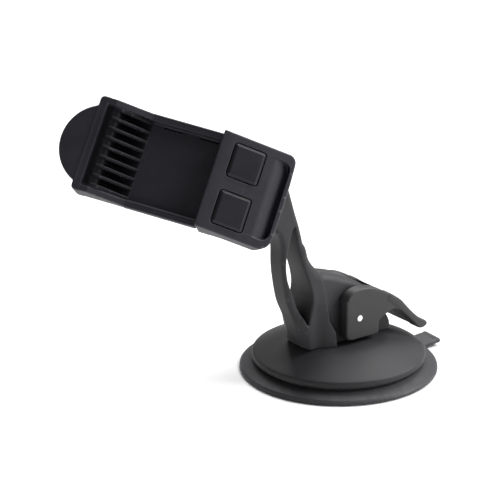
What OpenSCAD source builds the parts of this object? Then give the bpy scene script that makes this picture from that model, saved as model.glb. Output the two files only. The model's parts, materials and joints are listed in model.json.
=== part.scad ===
// Car phone mount: a rubber suction base with a locking lever, a curved arm,
// a ball joint and a sliding cradle with two release buttons.
// Origin: centre of the pad's underside. +Z is up, +X points to the lever's handle.

/* [Suction base] */
// Diameter of the rubber suction pad
pad_d = 80; // [78:1:82]
// Width of the moulded pull tab on the pad's rim
tab_w = 10.6; // [8:0.2:12]
// Diameter of the hard dome's rim
dome_d = 70; // [69:0.5:71]
// Height of the dome's flat top
dome_top = 14.4; // [14:0.1:14.6]

/* [Lever] */
// Height of the lever's pivot pin
pivot_z = 25; // [24.8:0.1:25.2]
// Diameter of the pivot pin
pin_d = 2.5; // [2:0.1:3]
// Full width over the lever's two cheeks
lever_w = 26.8; // [26:0.2:28]
// Half width of the pedestal's tongue between the cheeks
tongue_half = 8; // [7.5:0.1:8.1]
// Throw of the eccentric on the pin
cam_throw = 2.5; // [2:0.1:2.5]
// Angle the lever opens through
lever_open = 60; // [50:1:60]

/* [Arm] */
// Width of the arm across Y
arm_w = 10; // [9:0.5:11]
// Diameter of the ball
ball_d = 12; // [11.8:0.1:12]

/* [Cradle] */
// Width of the tray across its rails
tray_w = 35; // [34:0.5:35]
// Width of the housing
housing_w = 37.8; // [37.6:0.1:39]
// Length of the housing's sloping face
face_len = 30.7; // [30.5:0.1:31]
// Slope of the housing's face against the tray
face_slope = 24; // [23:0.5:24.5]
// Number of ribs on the jaw's rubber pad
rib_count = 9; // [7:1:11]
// Side of the square release buttons, across the cradle
button_w = 13; // [12:0.1:13]
// How far the tray pulls out of the housing
tray_travel = 12; // [8:1:12]

/* [Hidden] */
$fn = 64;

tab_turn = -3.5;      // heading of the pull tab
gap = 0.3;            // clearance between pieces that move past each other
run = 0.05;           // radial clearance of a running fit
lip_r = 33.2;         // dome lip that presses on the pad
dome_wall = 2.2;
boss_top = 8.4;       // top of the pad's rubber boss
disc_r = 9.3;
disc_z = [4.4, 6];    // underside and top of the stem's disc
rod_r = 3;
bush_r = 5.9;
bush_z = [11.2, 15.8];
cam_r = 5;
cam_rest = 180 - lever_open / 2;   // angle of the eccentric about the pin, from +X towards +Z
cam_at = [cam_throw * cos(cam_rest), cam_throw * sin(cam_rest)];
yoke_wall = 2;
yoke_half_y = 3;
window_x = [-cam_throw - cam_r - gap, cam_at[0] + cam_r + gap];
window_half_z = cam_r + 0.15;
step_x = -11.7;       // where the wide foot steps down to the narrow tongue
foot_half = 13.2;
foot_len = 20.6;
lens_half = 15.2;     // half width of the foot's pointed plan, at its middle
base_screw_at = [[-14.5, 0], [14, 4.8], [14, -4.8]];

ball_at = [-45.9, 0, 80.5];
stud_lean = -53.13;   // the stud points up and towards -X
stud_len = 12;
neck_r = 2.4;
cradle_turn = [-42, 58.5, -14.6];   // heading, lean and roll of the cradle about the ball
ball_r = ball_d / 2;
liner_r = [ball_r + 0.08, ball_r + 0.85];
socket_r = ball_r + 0.95;
cup_r = socket_r + 1.35;

floor_z = 10;         // the tray's floor, above the ball's centre
floor_t = 2;
rail_top = 12.5;
rail_t = 1.6;
jaw_x = [-60.1, -39.5];
jaw_wall = 3.5;       // end wall that carries the finger tab
jaw_base = 9.3;       // underside of the jaw
jaw_top = 18.5;
jaw_half = 18.7;
pad_half = 16;
grip_tab_r = 16.4;
grip_tab_x = -53.6;
grip_tab_t = 2.3;
skirt_z = 9.2;        // lower edge of the skirts outside the mouth
skirt_t = 1.5;
slot_x = [-35.4, -21];
slot_size = [7.6, 0.6, 0.8];
slot_y = 14.5;
tooth_pitch = 1.6;
face_x = -11.56;      // upper edge of the sloping face
face_z = 18.5;
slab_t = 8.2;         // thickness of the housing under its face
split_t = 5;          // depth of the seam between the two shells
skin = 1.8;
side_wall = 1.1;
back_z = 5.8;         // flat back behind the tray's mouth
block_x = 13;
block_half = 15.5;
block_z = -2;
block_wall = 1.6;
solid_s = 21.5;       // from here the housing's end is solid
button_s = 5.8;       // start of the buttons along the face
button_l = 12.5;
button_y = 2.72;      // inner edge of each button from the centre line
button_proud = 0.8;
screw_s = 25.5;
screw_y = 16.4;
rack_y = [8.5, 12.3];
rack_z = [3.2, 5.2];
rack_x = [-11.5, tray_travel - 6.5];
tail_x = -8.5;

hard = [0.24, 0.24, 0.26];
softer = [0.15, 0.15, 0.16];
base_grey = [0.33, 0.33, 0.34];
rubber = [0.2, 0.2, 0.2];
steel = [0.8, 0.8, 0.82];

// A point of the housing's side outline: s along the face, t in from it.
function face_pt(s, t) = [face_x + s * cos(face_slope) - t * sin(face_slope),
                          face_z - s * sin(face_slope) - t * cos(face_slope)];
// Where a line t under the face crosses the height z.
function cross_x(t, z) = face_pt((face_z - t * cos(face_slope) - z) / sin(face_slope), t)[0];
// The face's height above x, less a skin of thickness t.
function face_over(x, t) = face_z - (x - face_x) * tan(face_slope) - t / cos(face_slope);

module in_cradle() {
    translate(ball_at)
        rotate([0, 0, cradle_turn[0]])
            rotate([cradle_turn[1], 0, 0])
                rotate([0, 0, cradle_turn[2]])
                    children();
}

// Origin at the face's upper edge, x down the slope and z out of the face.
module on_face() {
    translate([face_x, 0, face_z])
        rotate([0, face_slope, 0])
            children();
}

// An outline drawn in X and Z, extruded from y0 to y1.
module side_extrude(points, y0, y1) {
    translate([0, y1, 0])
        rotate([90, 0, 0])
            linear_extrude(height = y1 - y0)
                polygon(points);
}

// An outline drawn in Y and Z, extruded from x0 to x1.
module front_extrude(points, x0, x1) {
    translate([x0, 0, 0])
        rotate([90, 0, 90])
            linear_extrude(height = x1 - x0)
                polygon(points);
}

module y_cylinder(r, y0, y1) {
    translate([0, y1, 0])
        rotate([90, 0, 0])
            cylinder(r = r, h = y1 - y0);
}

// A coil spring of round wire, standing on z = 0.
module coil(coil_r, wire_r, height, turns) {
    sides = 6;
    rings = 14 * turns;
    points = [for (i = [0 : rings]) for (j = [0 : sides - 1])
        let (a = 360 * turns * i / rings,
             b = 360 * j / sides,
             r = coil_r + wire_r * cos(b))
        [r * cos(a), r * sin(a), wire_r + (height - 2 * wire_r) * i / rings + wire_r * sin(b)]];
    walls = [for (i = [0 : rings - 1]) for (j = [0 : sides - 1])
        let (a = i * sides + j, b = i * sides + (j + 1) % sides)
        each [[a, b, b + sides], [a, b + sides, a + sides]]];
    start_cap = [for (j = [sides - 1 : -1 : 0]) j];
    end_cap = [for (j = [0 : sides - 1]) rings * sides + j];
    polyhedron(points = points, faces = concat(walls, [start_cap, end_cap]));
}

// A screw with its head's underside on z = 0 and its shank up.
module screw(shank_r, shank_l, head_r, head_h) {
    difference() {
        union() {
            translate([0, 0, -head_h])
                cylinder(r = head_r, h = head_h);
            cylinder(r = shank_r, h = shank_l);
        }
        translate([0, 0, -head_h - 0.1])
            linear_extrude(height = 0.8)
                union() {
                    square([head_r * 1.2, 0.5], center = true);
                    square([0.5, head_r * 1.2], center = true);
                }
    }
}

module suction_pad() {
    color(rubber) {
        rotate_extrude($fn = 96)
            polygon([[0, 2.5], [12, 2.4], [33, 0], [pad_d / 2, 0], [pad_d / 2, 1.5],
                     [pad_d / 2 - 0.7, 2.1], [34.2, 3.8], [29, 3.8], [14, 6], [12.5, boss_top],
                     [rod_r + 0.6, boss_top], [rod_r + 0.6, disc_z[1] + 0.2],
                     [disc_r + gap, disc_z[1] + 0.2], [disc_r + gap, disc_z[0] - 0.2],
                     [0, disc_z[0] - 0.2]]);
        rotate([0, 0, tab_turn])
            side_extrude([[37, 0.3], [40, 0.3], [44.5, 1.2], [48, 1.5], [48.3, 2.6],
                          [47.5, 3.2], [44, 3], [40, 2.05], [37, 2.05]],
                         -tab_w / 2, tab_w / 2);
    }
}

module base_dome() {
    color(base_grey)
        difference() {
            rotate_extrude($fn = 96)
                polygon([[bush_r + 0.1, dome_top], [18, dome_top], [20.5, dome_top - 0.5],
                         [24, 12.6], [29, 10.4], [dome_d / 2 - 1, 7.9], [dome_d / 2, 7.2],
                         [dome_d / 2, 5.2], [lip_r, 5], [lip_r, 3.8], [lip_r - 2.4, 3.8],
                         [lip_r - 2.4, 6.6], [28, 8.2], [22, 10.9],
                         [17, dome_top - dome_wall], [bush_r + 0.1, dome_top - dome_wall]]);
            for (p = base_screw_at)
                translate([p[0], p[1], 8])
                    cylinder(r = 1.4, h = 8);
        }
}

// Side outline of the tower: foot at the bottom, ridge on top, tongue to the right.
tower_outline = [[-foot_len, dome_top], [-22, 21], [-23, 27], [-22.4, 35], [-21.6, 42],
                 [-22.6, 48], [-23.6, 53], [-20.8, 56], [-18.9, 50.5], [-16, 46.2],
                 [-12.8, 44.3], [-4.3, 41.6], [3.3, 38], [8.5, 34.2], [11.5, 31], [13.6, 27.6],
                 [15.5, 24.5], [18, 21.5], [20, 18], [20.6, dome_top]];
// The tower seen along X: wide at the foot, narrow at the ridge.
tower_front = [[-foot_half, dome_top], [-13, 18], [-11.2, 28], [-8.2, 36], [-6.7, 40], [-5.6, 45],
               [-5.1, 50], [-5, 57], [5, 57], [5.1, 50], [5.6, 45], [6.7, 40], [8.2, 36],
               [11.2, 28], [13, 18], [foot_half, dome_top]];
// The wide foot's end: it leans back to clear the lever as it opens.
foot_end = [[-30, dome_top - 1], [-9.2, dome_top - 1], [-9.2, 20.5], [step_x, 25.6],
            [step_x, 60], [-30, 60]];
arm_outline = [[-20, dome_top + 1], [-22.7, 20], [-26, 28], [-28.7, 34.5], [-30.4, 43], [-31.2, 50],
               [-31.4, 58.6], [-33.4, 64], [-38.6, 68.8], [-33.2, 76.2], [-32.6, 80], [-30.8, 82.2],
               [-28.1, 81.2], [-26.6, 77], [-24.8, 71], [-22.7, 64.5], [-20.7, 56.5],
               [-18.9, 50.5], [-15, 45], [-15, dome_top + 1]];
arm_opening = [[-21.3, 25], [-24, 31.1], [-26.2, 37.5], [-28.5, 43.3], [-29.4, 49], [-29.2, 53.5],
               [-28, 59], [-26.6, 64], [-25.5, 65.4], [-24.9, 63], [-23.8, 56.4],
               [-22.4, 50.2], [-20.4, 44.2], [-18.9, 38.4], [-19, 33.5], [-20, 28.6]];

module pedestal() {
    lens_k = (pow(foot_len, 2) - pow(lens_half, 2)) / (2 * lens_half);
    lens_r = lens_half + lens_k;
    color(base_grey)
        difference() {
            union() {
                intersection() {
                    side_extrude(tower_outline, -foot_half, foot_half);
                    front_extrude(tower_front, -40, 40);
                    union() {
                        intersection() {
                            translate([0, 0, dome_top])
                                linear_extrude(height = 44)
                                    intersection() {
                                        translate([0, lens_k])
                                            circle(r = lens_r, $fn = 96);
                                        translate([0, -lens_k])
                                            circle(r = lens_r, $fn = 96);
                                    }
                            side_extrude(foot_end, -20, 20);
                        }
                        translate([-24, -tongue_half, dome_top])
                            cube([50, 2 * tongue_half, 44]);
                    }
                }
                side_extrude(arm_outline, -arm_w / 2, arm_w / 2);
            }
            side_extrude(arm_opening, -20, 20);
            // pocket for the stem's yoke, open below
            translate([window_x[0] - yoke_wall - 0.4, -yoke_half_y - 0.4, dome_top - 1])
                cube([window_x[1] - window_x[0] + 2 * yoke_wall + 0.8, 2 * yoke_half_y + 0.8,
                      pivot_z + cam_at[1] + window_half_z + yoke_wall + 0.6 - dome_top + 1]);
            translate([0, 0, dome_top - 1])
                cylinder(r = bush_r + 0.3, h = bush_z[1] - dome_top + 1.2);
            translate([0, 0, pivot_z])
                y_cylinder(pin_d / 2 + run, -20, 20);
            for (p = base_screw_at)
                translate([p[0], p[1], dome_top - 1])
                    cylinder(r = 1.2, h = 9);
            translate([ball_at[0], 0, ball_at[2]])
                rotate([0, stud_lean, 0])
                    translate([0, 0, -stud_len - 7])
                        cylinder(r = 2, h = 12);
        }
}

module base_screws() {
    color(steel)
        for (p = base_screw_at)
            translate([p[0], p[1], dome_top - dome_wall])
                screw(1.15, 9.5, 2.2, 1.4);
}

module stem_bush() {
    color(hard)
        difference() {
            union() {
                translate([0, 0, bush_z[0]])
                    cylinder(r = bush_r + 1.4, h = dome_top - dome_wall - bush_z[0]);
                translate([0, 0, bush_z[0]])
                    cylinder(r = bush_r, h = bush_z[1] - bush_z[0]);
            }
            translate([0, 0, bush_z[0] - 1])
                cylinder(r = rod_r + run, h = 10);
        }
}

module plunger_stem() {
    yoke_z = pivot_z + cam_at[1];
    color(steel)
        union() {
            difference() {
                translate([window_x[0] - yoke_wall, -yoke_half_y, yoke_z - window_half_z - yoke_wall])
                    cube([window_x[1] - window_x[0] + 2 * yoke_wall, 2 * yoke_half_y,
                          2 * (window_half_z + yoke_wall)]);
                translate([window_x[0], -10, yoke_z - window_half_z])
                    cube([window_x[1] - window_x[0], 20, 2 * window_half_z]);
            }
            translate([0, 0, disc_z[1]])
                cylinder(r = rod_r, h = yoke_z - window_half_z - yoke_wall - disc_z[1] + 0.5);
            translate([0, 0, disc_z[0]])
                cylinder(r = 1.8, h = 3);
        }
}

module stem_disc() {
    color(steel)
        difference() {
            translate([0, 0, disc_z[0]])
                cylinder(r = disc_r, h = disc_z[1] - disc_z[0]);
            cylinder(r = 1.83, h = 10);
        }
}

module stem_spring() {
    color(steel)
        translate([0, 0, boss_top + 0.1])
            coil(5, 0.3, bush_z[0] - boss_top - 0.2, 2);
}

cheek_outline = [[-6.2, 18.4], [-5.6, 16.8], [-4.4, 16.2], [9.3, 16], [9.9, 16.8], [9.9, 20],
                 [10.8, 21.9], [13.8, 23.5], [16.4, 24.5], [18.5, 24.4], [21.1, 22.9], [25.4, 19.3],
                 [28.2, 16.5], [30.6, 14.1], [33, 13.3], [35.2, 14.3], [34.6, 15.6], [30.6, 18.2],
                 [26.7, 21.8], [23.6, 25.2], [21, 27.9], [15.7, 31.7], [10.5, 34.7], [5.8, 36.5],
                 [1.3, 37.1], [-2.2, 36.6], [-4.7, 35.2], [-6.2, 33.3]];
web_outline = [[14.6, 29.4], [17.4, 27.4], [20.6, 24.4], [23.4, 21.4], [25.4, 19.3], [28.2, 16.5],
               [30.6, 14.1], [33, 13.3], [35.2, 14.3], [34.6, 15.6], [30.6, 18.2], [26.7, 21.8],
               [23.6, 25.2], [21, 27.9], [15.7, 31.7]];

module lever() {
    cheek_in = tongue_half + 0.4;
    color(base_grey)
        difference() {
            union() {
                side_extrude(cheek_outline, -lever_w / 2, -cheek_in);
                side_extrude(cheek_outline, cheek_in, lever_w / 2);
                side_extrude(web_outline, -lever_w / 2, lever_w / 2);
            }
            translate([0, 0, pivot_z])
                y_cylinder(pin_d / 2 + 0.01, -20, 20);
        }
}

module lever_pin() {
    color(steel)
        translate([0, 0, pivot_z])
            y_cylinder(pin_d / 2, -lever_w / 2 - 0.2, lever_w / 2 + 0.2);
}

module lever_cam() {
    color(hard)
        translate([0, 0, pivot_z])
            difference() {
                translate([cam_at[0], 0, cam_at[1]])
                    y_cylinder(cam_r, -yoke_half_y + 0.2, yoke_half_y - 0.2);
                y_cylinder(pin_d / 2 + 0.01, -10, 10);
            }
}

module ball_stud() {
    color(hard)
        translate(ball_at)
            rotate([0, stud_lean, 0])
                union() {
                    sphere(r = ball_r, $fn = 64);
                    translate([0, 0, -stud_len])
                        cylinder(r = neck_r, h = stud_len - 2);
                    translate([0, 0, -stud_len])
                        cylinder(r = 3.6, h = 1.4);
                    translate([0, 0, -stud_len - 6.5])
                        cylinder(r = 1.95, h = 7);
                }
}

// A ring cut out of a ball, between two angles down from the pole.
module ball_zone(r_in, r_out, from, to) {
    steps = 10;
    outer = [for (i = [0 : steps]) let (a = from + (to - from) * i / steps)
        [r_out * sin(a), r_out * cos(a)]];
    inner = [for (i = [steps : -1 : 0]) let (a = from + (to - from) * i / steps)
        [r_in * sin(a), r_in * cos(a)]];
    rotate_extrude($fn = 64)
        polygon(concat(outer, inner));
}

module liner_cap() {
    color(hard)
        in_cradle()
            ball_zone(liner_r[0], liner_r[1], 0, 38);
}

module liner_band() {
    color(hard)
        in_cradle()
            ball_zone(liner_r[0], liner_r[1], 64, 98);
}

module socket_cup() {
    color(hard)
        in_cradle()
            difference() {
                union() {
                    intersection() {
                        sphere(r = cup_r, $fn = 64);
                        translate([-20, -20, 0.3])
                            cube([40, 40, 20]);
                    }
                    translate([0, 0, 0.3])
                        cylinder(r = cup_r + 1.4, h = 1.5);
                }
                sphere(r = socket_r, $fn = 64);
            }
}

// Outer form of both shells together.
module housing_form() {
    end_hi = face_pt(face_len, 0);
    end_lo = face_pt(face_len, slab_t);
    side_extrude([[face_x, face_z], end_hi, end_lo, [cross_x(slab_t, back_z), back_z],
                  [face_x, back_z]], -housing_w / 2, housing_w / 2);
    translate([face_x, -block_half, block_z])
        cube([cross_x(slab_t, back_z) - face_x + 3, 2 * block_half, 9]);
    side_extrude([[-2, block_z], [block_x - 4, block_z], [block_x - 1, 0], [block_x - 1, 3],
                  [-2, 8]], -block_half, block_half);
}

// The hollow inside both shells.
module housing_hollow() {
    half = housing_w / 2 - side_wall;
    inner_t = slab_t - skin;
    floor_in = back_z + skin;
    side_extrude([[face_x + skin, face_over(face_x + skin, skin)], face_pt(solid_s, skin),
                  face_pt(solid_s, inner_t), [cross_x(inner_t, floor_in), floor_in],
                  [face_x + skin, floor_in]], -half, half);
    difference() {
        translate([face_x - 1, -block_half + block_wall, block_z + block_wall])
            cube([21, 2 * (block_half - block_wall), 9]);
        on_face()
            translate([solid_s, -20, -split_t])
                cube([20, 40, 10]);
        // ring that carries the socket cup's flange
        translate([0, 0, block_z])
            cylinder(r = cup_r + 2.8, h = 2.3);
    }
    // mouth for the tray
    translate([face_x - 1, -half, floor_in])
        cube([skin + 2, 2 * half, rail_top + 0.4 - floor_in]);
}

module front_side() {
    on_face()
        translate([-20, -30, -split_t])
            cube([80, 60, 40]);
}

module housing_front() {
    color(hard)
        in_cradle()
            difference() {
                intersection() {
                    housing_form();
                    front_side();
                }
                housing_hollow();
                sphere(r = cup_r + 0.1, $fn = 64);
                on_face() {
                    for (side = [-1, 1]) {
                        translate([button_s - gap, side * (button_y + button_w / 2), 0])
                            translate([0, -button_w / 2 - gap, -4])
                                cube([button_l + 2 * gap, button_w + 2 * gap, 10]);
                        translate([screw_s, side * screw_y, -split_t - 0.1])
                            cylinder(r = 1, h = 3.4);
                    }
                    // thumb recess at the end
                    translate([23.4, -14.4, -1.4])
                        cube([6, 28.8, 3]);
                }
                // seat for the rubber strip on the mouth's upper wall
                translate([face_x - 1, -13, 13.6])
                    cube([1.7, 26, 3.6]);
            }
}

module housing_back() {
    color(hard)
        in_cradle()
            difference() {
                housing_form();
                front_side();
                housing_hollow();
                sphere(r = socket_r, $fn = 64);
                translate([0, 0, 0.25])
                    cylinder(r = cup_r + 1.45, h = 3);
                on_face()
                    for (side = [-1, 1])
                        translate([screw_s, side * screw_y, -slab_t - 0.1]) {
                            cylinder(r = 1.1, h = 6);
                            cylinder(r = 2, h = 1.6);
                        }
            }
}

module housing_screws() {
    color(steel)
        in_cradle()
            on_face()
                for (side = [-1, 1])
                    translate([screw_s, side * screw_y, -slab_t + 1.5])
                        screw(0.95, 4.6, 1.9, 1.2);
}

module wall_pad() {
    color(rubber)
        in_cradle()
            translate([face_x, -13, 13.6])
                cube([0.7, 26, 3.6]);
}

module tray() {
    half = tray_w / 2;
    rack_w = rack_y[1] - rack_y[0];
    rail_w = jaw_half - pad_half;
    color(hard)
        in_cradle()
            difference() {
                union() {
                    translate([jaw_x[0], -half, floor_z - floor_t])
                        cube([tail_x - jaw_x[0], 2 * half, floor_t]);
                    for (side = [-1, 1]) {
                        translate([jaw_x[1], side * (half - rail_t / 2) - rail_t / 2, floor_z - 0.5])
                            cube([tail_x - jaw_x[1], rail_t, rail_top - floor_z + 0.5]);
                        // skirt outside the housing's mouth
                        translate([jaw_x[1] - 1, side * (jaw_half - skirt_t / 2) - skirt_t / 2, skirt_z])
                            cube([face_x - gap - jaw_x[1] + 1, skirt_t, rail_top - skirt_z]);
                        translate([0, side * (jaw_half + pad_half) / 2, 0])
                            side_extrude([[jaw_x[0], jaw_base], [jaw_x[0], jaw_top],
                                          [-53.6, jaw_top], [jaw_x[1], 12.2],
                                          [jaw_x[1], jaw_base]],
                                         -rail_w / 2, rail_w / 2);
                        // rack arms, low behind the floor
                        translate([rack_x[0], side * (rack_y[0] + rack_w / 2) - rack_w / 2, rack_z[0]]) {
                            cube([rack_x[1] - rack_x[0], rack_w, rack_z[1] - rack_z[0]]);
                            cube([tail_x - rack_x[0], rack_w, floor_z - 1 - rack_z[0]]);
                        }
                    }
                    // end wall and finger tab
                    translate([jaw_x[0], -jaw_half, jaw_base])
                        cube([jaw_wall, 2 * jaw_half, jaw_top - jaw_base]);
                    translate([0, 0, jaw_top - grip_tab_t])
                        linear_extrude(height = grip_tab_t)
                            intersection() {
                                translate([grip_tab_x, -0.4])
                                    circle(r = grip_tab_r);
                                translate([-75, -20])
                                    square([75 + jaw_x[0] + 1, 40]);
                            }
                }
                // shallow slots beside the upper rail
                for (x = slot_x)
                    translate([x, slot_y, floor_z - slot_size[2]])
                        cube([slot_size[0], slot_size[1], slot_size[2] + 1]);
                // teeth under the rack arms
                for (side = [-1, 1])
                    for (i = [0 : 6])
                        translate([rack_x[0] + 4.5 + tooth_pitch * i, side * (rack_y[0] + rack_w / 2),
                                   rack_z[0]])
                            side_extrude([[0, -0.1], [0, 0.6], [1.1, -0.1]], -rack_w / 2, rack_w / 2);
            }
}

module jaw_pad() {
    half = pad_half - 0.05;
    pad_x = jaw_x[0] + jaw_wall + 0.05;
    pitch = 2 * (half - 0.9) / (rib_count - 1);
    color(rubber)
        in_cradle()
            difference() {
                side_extrude([[pad_x, jaw_top], [-53.4, jaw_top], [-48, 16],
                              [-41, 11.6], [-39.6, floor_z + 0.05], [pad_x, floor_z + 0.05]],
                             -half, half);
                for (i = [0 : rib_count - 2])
                    translate([0, -half + 0.9 + pitch * (i + 0.5), 0])
                        side_extrude([[-52.6, jaw_top + 0.1], [-47.6, 16.7], [-38, 11.5],
                                      [-38, floor_z + 0.6], [-46, floor_z + 0.8], [-50, 13.4],
                                      [-51.2, 16.6]],
                                     -pitch * 0.32, pitch * 0.32);
            }
}

// side is 1 for the upper button and -1 for the lower one.
module button(side) {
    mid = button_y + button_w / 2;
    leg_y = rack_y[1] + 0.3;
    color(softer)
        in_cradle()
            on_face()
                union() {
                    translate([button_s, side * mid - button_w / 2, -2.4])
                        cube([button_l, button_w, 2.4 + button_proud]);
                    // flange behind the skin
                    translate([button_s - 0.8, side * mid - button_w / 2 - 0.8, -2.9])
                        cube([button_l + 1.6, button_w + 1.6, 0.8]);
                    // leg past the rack arm, with a hook under its teeth
                    translate([9, side * (leg_y + 0.5) - 0.5, -14.2])
                        cube([3, 1, 12]);
                    translate([9, side * (leg_y - 0.4) - 1.4, -14.2])
                        cube([3, 2.8, 1]);
                }
}

module button_upper() {
    button(1);
}

module button_lower() {
    button(-1);
}

module button_spring(side) {
    color(steel)
        in_cradle()
            on_face()
                translate([12, side * 15.4, -slab_t + skin + 0.05])
                    coil(0.9, 0.2, slab_t - skin - 3, 4);
}

module button_upper_spring() {
    button_spring(1);
}

module button_lower_spring() {
    button_spring(-1);
}

suction_pad();
base_dome();
pedestal();
base_screws();
stem_bush();
plunger_stem();
stem_disc();
stem_spring();
lever();
lever_pin();
lever_cam();
ball_stud();
liner_cap();
liner_band();
socket_cup();
housing_back();
housing_front();
housing_screws();
wall_pad();
tray();
jaw_pad();
button_upper();
button_lower();
button_upper_spring();
button_lower_spring();
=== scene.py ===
import json
import math

import bmesh
import bpy
import numpy as np
from mathutils import Matrix, Vector


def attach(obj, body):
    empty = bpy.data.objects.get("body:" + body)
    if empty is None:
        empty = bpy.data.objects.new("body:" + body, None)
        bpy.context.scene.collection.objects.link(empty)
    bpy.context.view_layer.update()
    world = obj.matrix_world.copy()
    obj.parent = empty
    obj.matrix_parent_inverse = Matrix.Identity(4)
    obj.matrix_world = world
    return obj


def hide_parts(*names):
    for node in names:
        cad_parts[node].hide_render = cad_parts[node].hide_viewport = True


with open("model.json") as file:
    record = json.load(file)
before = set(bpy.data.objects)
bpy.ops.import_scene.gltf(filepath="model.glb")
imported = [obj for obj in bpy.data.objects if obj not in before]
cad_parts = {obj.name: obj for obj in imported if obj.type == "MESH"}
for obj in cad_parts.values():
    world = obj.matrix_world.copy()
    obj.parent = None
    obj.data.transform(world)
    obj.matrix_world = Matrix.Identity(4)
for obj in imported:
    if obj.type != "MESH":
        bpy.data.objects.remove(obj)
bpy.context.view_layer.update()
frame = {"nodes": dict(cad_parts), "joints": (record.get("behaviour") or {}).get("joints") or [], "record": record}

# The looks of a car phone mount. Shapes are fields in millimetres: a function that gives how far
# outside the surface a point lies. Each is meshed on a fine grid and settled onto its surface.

MM = 0.001
JOINTS = {joint["name"]: joint for joint in frame["joints"]}


# ---------------------------------------------------------------- places, from the frame

def axis_of(joint):
    """A joint's axis as a unit vector."""
    return Vector(JOINTS[joint]["axis"]).normalized()


def turned(along, across, out, origin):
    """The matrix of a frame with those axes and that origin, in metres."""
    matrix = Matrix((along, across, out)).transposed().to_4x4()
    matrix.translation = origin
    return matrix


def box_in(matrix, node):
    """A node's lowest and highest corners in another frame, in millimetres."""
    inverse = matrix.inverted()
    points = [inverse @ vertex.co for vertex in frame["nodes"][node].data.vertices]
    points = np.array(points) / MM
    return points.min(0), points.max(0)


WORLD = Matrix.Identity(4)
BALL = Vector(JOINTS["ball_pan"]["pos_m"])
ALONG, ACROSS, OUT = -axis_of("tray_slide"), axis_of("ball_pan"), axis_of("ball_roll")
CRADLE = turned(ALONG, ACROSS, OUT, BALL)       # x down the tray, y across it, z out of it
FRONT_BOX = box_in(CRADLE, "housing_front")
FACE_X, FACE_Z = FRONT_BOX[0][0], FRONT_BOX[1][2]          # the sloping face's upper edge
FACE_OUT = -axis_of("button_upper_press")
SLOPE = FACE_OUT.angle(OUT)
SIN, COS = math.sin(SLOPE), math.cos(SLOPE)
FACE_ORIGIN = BALL + (ALONG * FACE_X + OUT * FACE_Z) * MM
FACE = turned(ACROSS.cross(FACE_OUT), ACROSS, FACE_OUT, FACE_ORIGIN)   # x down the slope


# ---------------------------------------------------------------- fields

def both(a, b, r=0.0):
    """Inside a and inside b, with the edge between them rounded to r."""
    u, v = a + r, b + r
    corner = np.sqrt(np.maximum(u, 0) ** 2 + np.maximum(v, 0) ** 2)
    return np.minimum(np.maximum(u, v), 0) + corner - r


def either(a, b, r=0.0):
    """Inside a or b, with a fillet of r where they meet."""
    return -both(-a, -b, r)


def without(a, b, r=0.0):
    """Inside a and outside b, with that edge rounded to r."""
    return both(a, -b, r)


def span(value, low, high):
    """Between two parallel planes."""
    return np.abs(value - (low + high) / 2) - (high - low) / 2


def block(x, y, z, low, high, r=0.0):
    """A box between two corners with its edges rounded to r."""
    flat = both(span(x, low[0], high[0]), span(y, low[1], high[1]), r)
    return both(flat, span(z, low[2], high[2]), r)


def round_rect(a, b, half_a, half_b, r):
    """A rectangle about the origin of a plane, with round corners."""
    return both(np.abs(a) - half_a, np.abs(b) - half_b, r)


def circle(a, b, r):
    """A circle about the origin of a plane."""
    return np.sqrt(a ** 2 + b ** 2) - r


def outline(points):
    """A field in a plane from a closed outline's points."""
    starts = np.asarray(points, float)
    ends = np.roll(starts, -1, axis=0)

    def field(a, b):
        nearest, inside = None, False
        for (ax, ay), (bx, by) in zip(starts, ends):
            ex, ey = bx - ax, by - ay
            if ex == 0 and ey == 0:
                continue
            wx, wy = a - ax, b - ay
            share = np.clip((wx * ex + wy * ey) / (ex * ex + ey * ey), 0, 1)
            away = (wx - share * ex) ** 2 + (wy - share * ey) ** 2
            nearest = away if nearest is None else np.minimum(nearest, away)
            if ey != 0:
                level = (ay <= b) != (by <= b)
                inside = inside ^ (level & (ax + ex * wy / ey > a))
        return np.where(inside, -1.0, 1.0) * np.sqrt(nearest)

    return field


def curve(points, corners=(), steps=6):
    """A smooth closed outline through the points, with sharp corners at those indices."""
    pts = [np.array(p, float) for p in points]
    count, out = len(pts), []
    for i in range(count):
        p0, p1, p2, p3 = (pts[(i + k) % count] for k in (-1, 0, 1, 2))
        start = (p2 - p1) if i in corners else (p2 - p0) / 2
        end = (p2 - p1) if (i + 1) % count in corners else (p3 - p1) / 2
        for k in range(steps):
            t = k / steps
            out.append((2 * t ** 3 - 3 * t ** 2 + 1) * p1 + (t ** 3 - 2 * t ** 2 + t) * start
                       + (3 * t ** 2 - 2 * t ** 3) * p2 + (t ** 3 - t ** 2) * end)
    return out


# ---------------------------------------------------------------- meshes

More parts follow.
